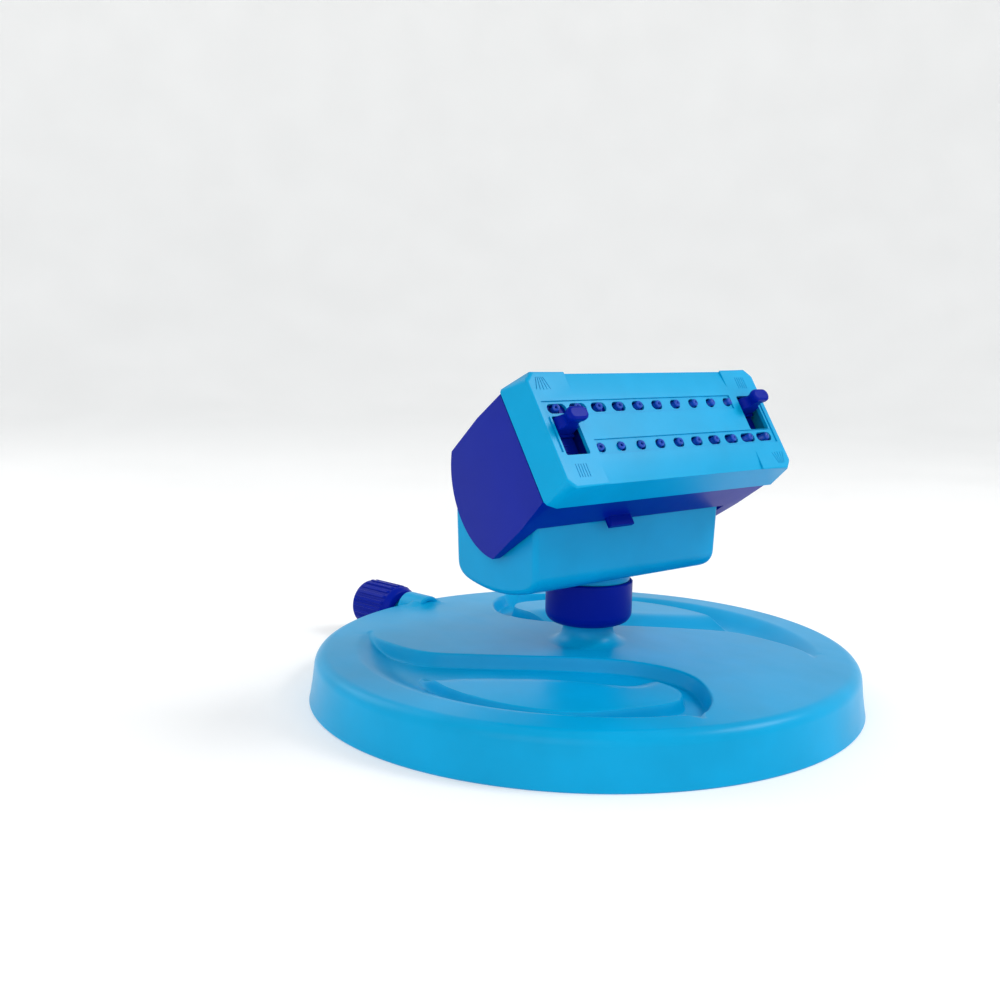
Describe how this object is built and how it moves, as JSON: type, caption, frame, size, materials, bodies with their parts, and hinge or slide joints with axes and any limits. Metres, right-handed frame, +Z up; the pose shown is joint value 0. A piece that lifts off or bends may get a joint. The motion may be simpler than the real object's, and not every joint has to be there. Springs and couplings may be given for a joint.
{
  "type": "oscillating sprinkler",
  "caption": "Oscillating lawn sprinkler: round weighted base, swivelling trough, rocking head with two rows of nozzles and two pattern sliders, and a threaded hose inlet.",
  "frame": {"origin": "centre of the base's underside, on the ground", "axes": "+Z up, X along the head's long axis at rest, -Y the front that the head is tilted towards"},
  "size_m": [0.35, 0.3911, 0.2065],
  "materials": {
    "light_blue_plastic": "semi-gloss moulded polypropylene",
    "dark_blue_plastic": "semi-gloss moulded plastic",
    "nozzle_rubber": "soft satin rubber",
    "black_rubber": "matt rubber",
    "steel": "zinc-plated or stainless steel",
    "acetal": "matt white engineering plastic"
  },
  "bodies": {
    "base": {"base_shell": "light_blue_plastic", "centre_post": "light_blue_plastic", "base_plate": "dark_blue_plastic", "base_screws": "steel", "riser_tee": "acetal", "inlet_pipe": "light_blue_plastic", "hose_washer": "black_rubber", "filter_screen": "steel", "swivel_bush": "acetal", "swivel_seal": "black_rubber", "retainer_ring": "acetal"},
    "coupling": {"coupling_nut": "dark_blue_plastic"},
    "turret": {"swivel_collar": "dark_blue_plastic", "swivel_tube": "acetal", "trough": "light_blue_plastic", "trough_screws": "steel", "feed_manifold": "acetal", "feed_tube": "dark_blue_plastic", "turbine_housing": "acetal", "return_tube": "dark_blue_plastic", "water_trunnion": "acetal", "pivot_pin": "steel", "gear_plate_left": "acetal", "gear_plate_right": "acetal"},
    "head": {"head_housing": "dark_blue_plastic", "top_cover": "light_blue_plastic", "cover_screws": "steel", "water_chamber": "dark_blue_plastic", "chamber_lid": "dark_blue_plastic", "nozzle_strip_back": "nozzle_rubber", "nozzle_strip_front": "nozzle_rubber", "slide_plate_left": "dark_blue_plastic", "slide_plate_right": "dark_blue_plastic", "sector_gear": "acetal", "trunnion_seal": "black_rubber"},
    "left_slide": {"left_slider": "dark_blue_plastic"},
    "right_slide": {"right_slider": "dark_blue_plastic"},
    "back_comb_plate": {"back_comb": "dark_blue_plastic"},
    "front_comb_plate": {"front_comb": "dark_blue_plastic"},
    "output": {"output_gear": "acetal", "output_shaft": "steel"},
    "reduction": {"reduction_gear": "acetal", "reduction_shaft": "steel"},
    "turbine": {"turbine_pinion": "acetal", "turbine_wheel": "acetal", "turbine_shaft": "steel"}
  },
  "joints": [
    {"name": "coupling_spin", "type": "hinge", "parent": "base", "child": "coupling", "pos_m": [-0.01986, 0.18896, 0.0215], "axis": [-0.1045, 0.9945, 0], "continuous": true},
    {"name": "turret_swivel", "type": "hinge", "parent": "base", "child": "turret", "pos_m": [0, 0, 0.06], "axis": [0, 0, 1], "continuous": true},
    {"name": "head_swing", "type": "hinge", "parent": "turret", "child": "head", "pos_m": [0, 0, 0.135], "axis": [-1, 0, 0], "range_deg": [0, 112]},
    {"name": "left_pattern_slide", "type": "slide", "parent": "head", "child": "left_slide", "axis": [0, -0.5592, -0.829], "range_m": [0, 0.0135]},
    {"name": "back_comb_shift", "type": "slide", "parent": "head", "child": "back_comb_plate", "axis": [1, 0, 0], "range_m": [0, 0.00151]},
    {"name": "right_pattern_slide", "type": "slide", "parent": "head", "child": "right_slide", "axis": [0, -0.5592, -0.829], "range_m": [0, 0.0135]},
    {"name": "front_comb_shift", "type": "slide", "parent": "head", "child": "front_comb_plate", "axis": [1, 0, 0], "range_m": [0, 0.00151]},
    {"name": "output_spin", "type": "hinge", "parent": "turret", "child": "output", "pos_m": [0.04, 0, 0.098], "axis": [-1, 0, 0], "range_deg": [-716.87, 0]},
    {"name": "reduction_spin", "type": "hinge", "parent": "turret", "child": "reduction", "pos_m": [0.045, 0.01402, 0.09029], "axis": [-1, 0, 0], "range_deg": [0, 2150.61]},
    {"name": "turbine_spin", "type": "hinge", "parent": "turret", "child": "turbine", "pos_m": [0.06, 0.00202, 0.09029], "axis": [-1, 0, 0], "range_deg": [-6451.85, 0]}
  ],
  "couplings": [
    {"joint": "output_spin", "follows": "head_swing", "ratio": -6.4},
    {"joint": "reduction_spin", "follows": "head_swing", "ratio": 19.2},
    {"joint": "turbine_spin", "follows": "head_swing", "ratio": -57.6},
    {"joint": "back_comb_shift", "follows": "left_pattern_slide", "ratio": 0.11111},
    {"joint": "front_comb_shift", "follows": "right_pattern_slide", "ratio": 0.11111}
  ]
}
